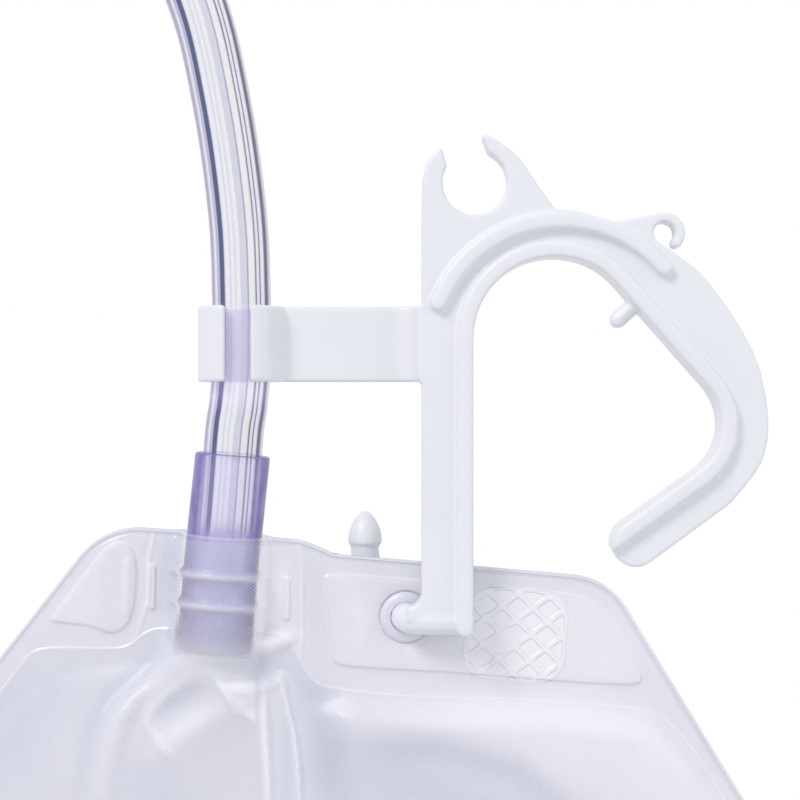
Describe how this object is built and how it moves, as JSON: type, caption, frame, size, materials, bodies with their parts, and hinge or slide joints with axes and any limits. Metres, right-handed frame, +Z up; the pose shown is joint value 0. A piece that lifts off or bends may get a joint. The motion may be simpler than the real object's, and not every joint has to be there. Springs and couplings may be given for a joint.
{
  "type": "urine drainage bag",
  "caption": "Clear film urine bag with an embossed header, hung by its eyelet on a white hook with tube clips, with a coiled inlet tube and a push-pull drain valve.",
  "frame": {"origin": "the top of the hook's throat, where the hanger sits on the bed rail", "axes": "+Z up, +X to the right as the bag's front is seen, -Y towards the person who looks at the front"},
  "size_m": [0.2235, 0.0417, 0.5019],
  "materials": {
    "white_moulding": "satin moulded polypropylene",
    "clear_film": "embossed soft PVC film",
    "clear_tube": "clear soft PVC tube",
    "violet_connector": "tinted translucent PVC",
    "blue_valve": "moulded plastic",
    "seal_rubber": "black rubber",
    "tie_film": "thin white band"
  },
  "bodies": {
    "hanger": {"hanger": "white_moulding", "inlet_tube": "clear_tube", "tube_coil": "clear_tube", "tube_end": "clear_tube", "coil_tie_top": "tie_film", "coil_tie_bottom": "tie_film", "catheter_connector": "white_moulding"},
    "bag": {"front_film": "clear_film", "back_film": "clear_film", "eyelet_grommet": "clear_film", "inlet_connector": "violet_connector", "valve_film_front": "clear_film", "valve_film_back": "clear_film", "outlet_port": "clear_tube", "drain_tube": "clear_tube", "drain_valve_body": "blue_valve"},
    "plunger": {"drain_plunger": "white_moulding", "plunger_seal_1": "seal_rubber", "plunger_seal_2": "seal_rubber", "plunger_seal_3": "seal_rubber"},
    "cap": {"connector_cap": "clear_tube"}
  },
  "joints": [
    {"name": "bag_swing", "type": "hinge", "parent": "hanger", "child": "bag", "pos_m": [-0.02485, 0.0049, -0.06074], "axis": [0, 1, 0], "range_deg": [-5, 5], "stiffness_Nm_per_rad": 0.08, "springref_deg": 4.6, "deforming": ["inlet_tube"]},
    {"name": "plunger_slide", "type": "slide", "parent": "bag", "child": "plunger", "axis": [0.9969, 0, -0.0785], "range_m": [0, 0.008]},
    {"name": "cap_pull", "type": "slide", "parent": "hanger", "child": "cap", "axis": [1, 0, 0], "range_m": [0, 0.034]}
  ]
}
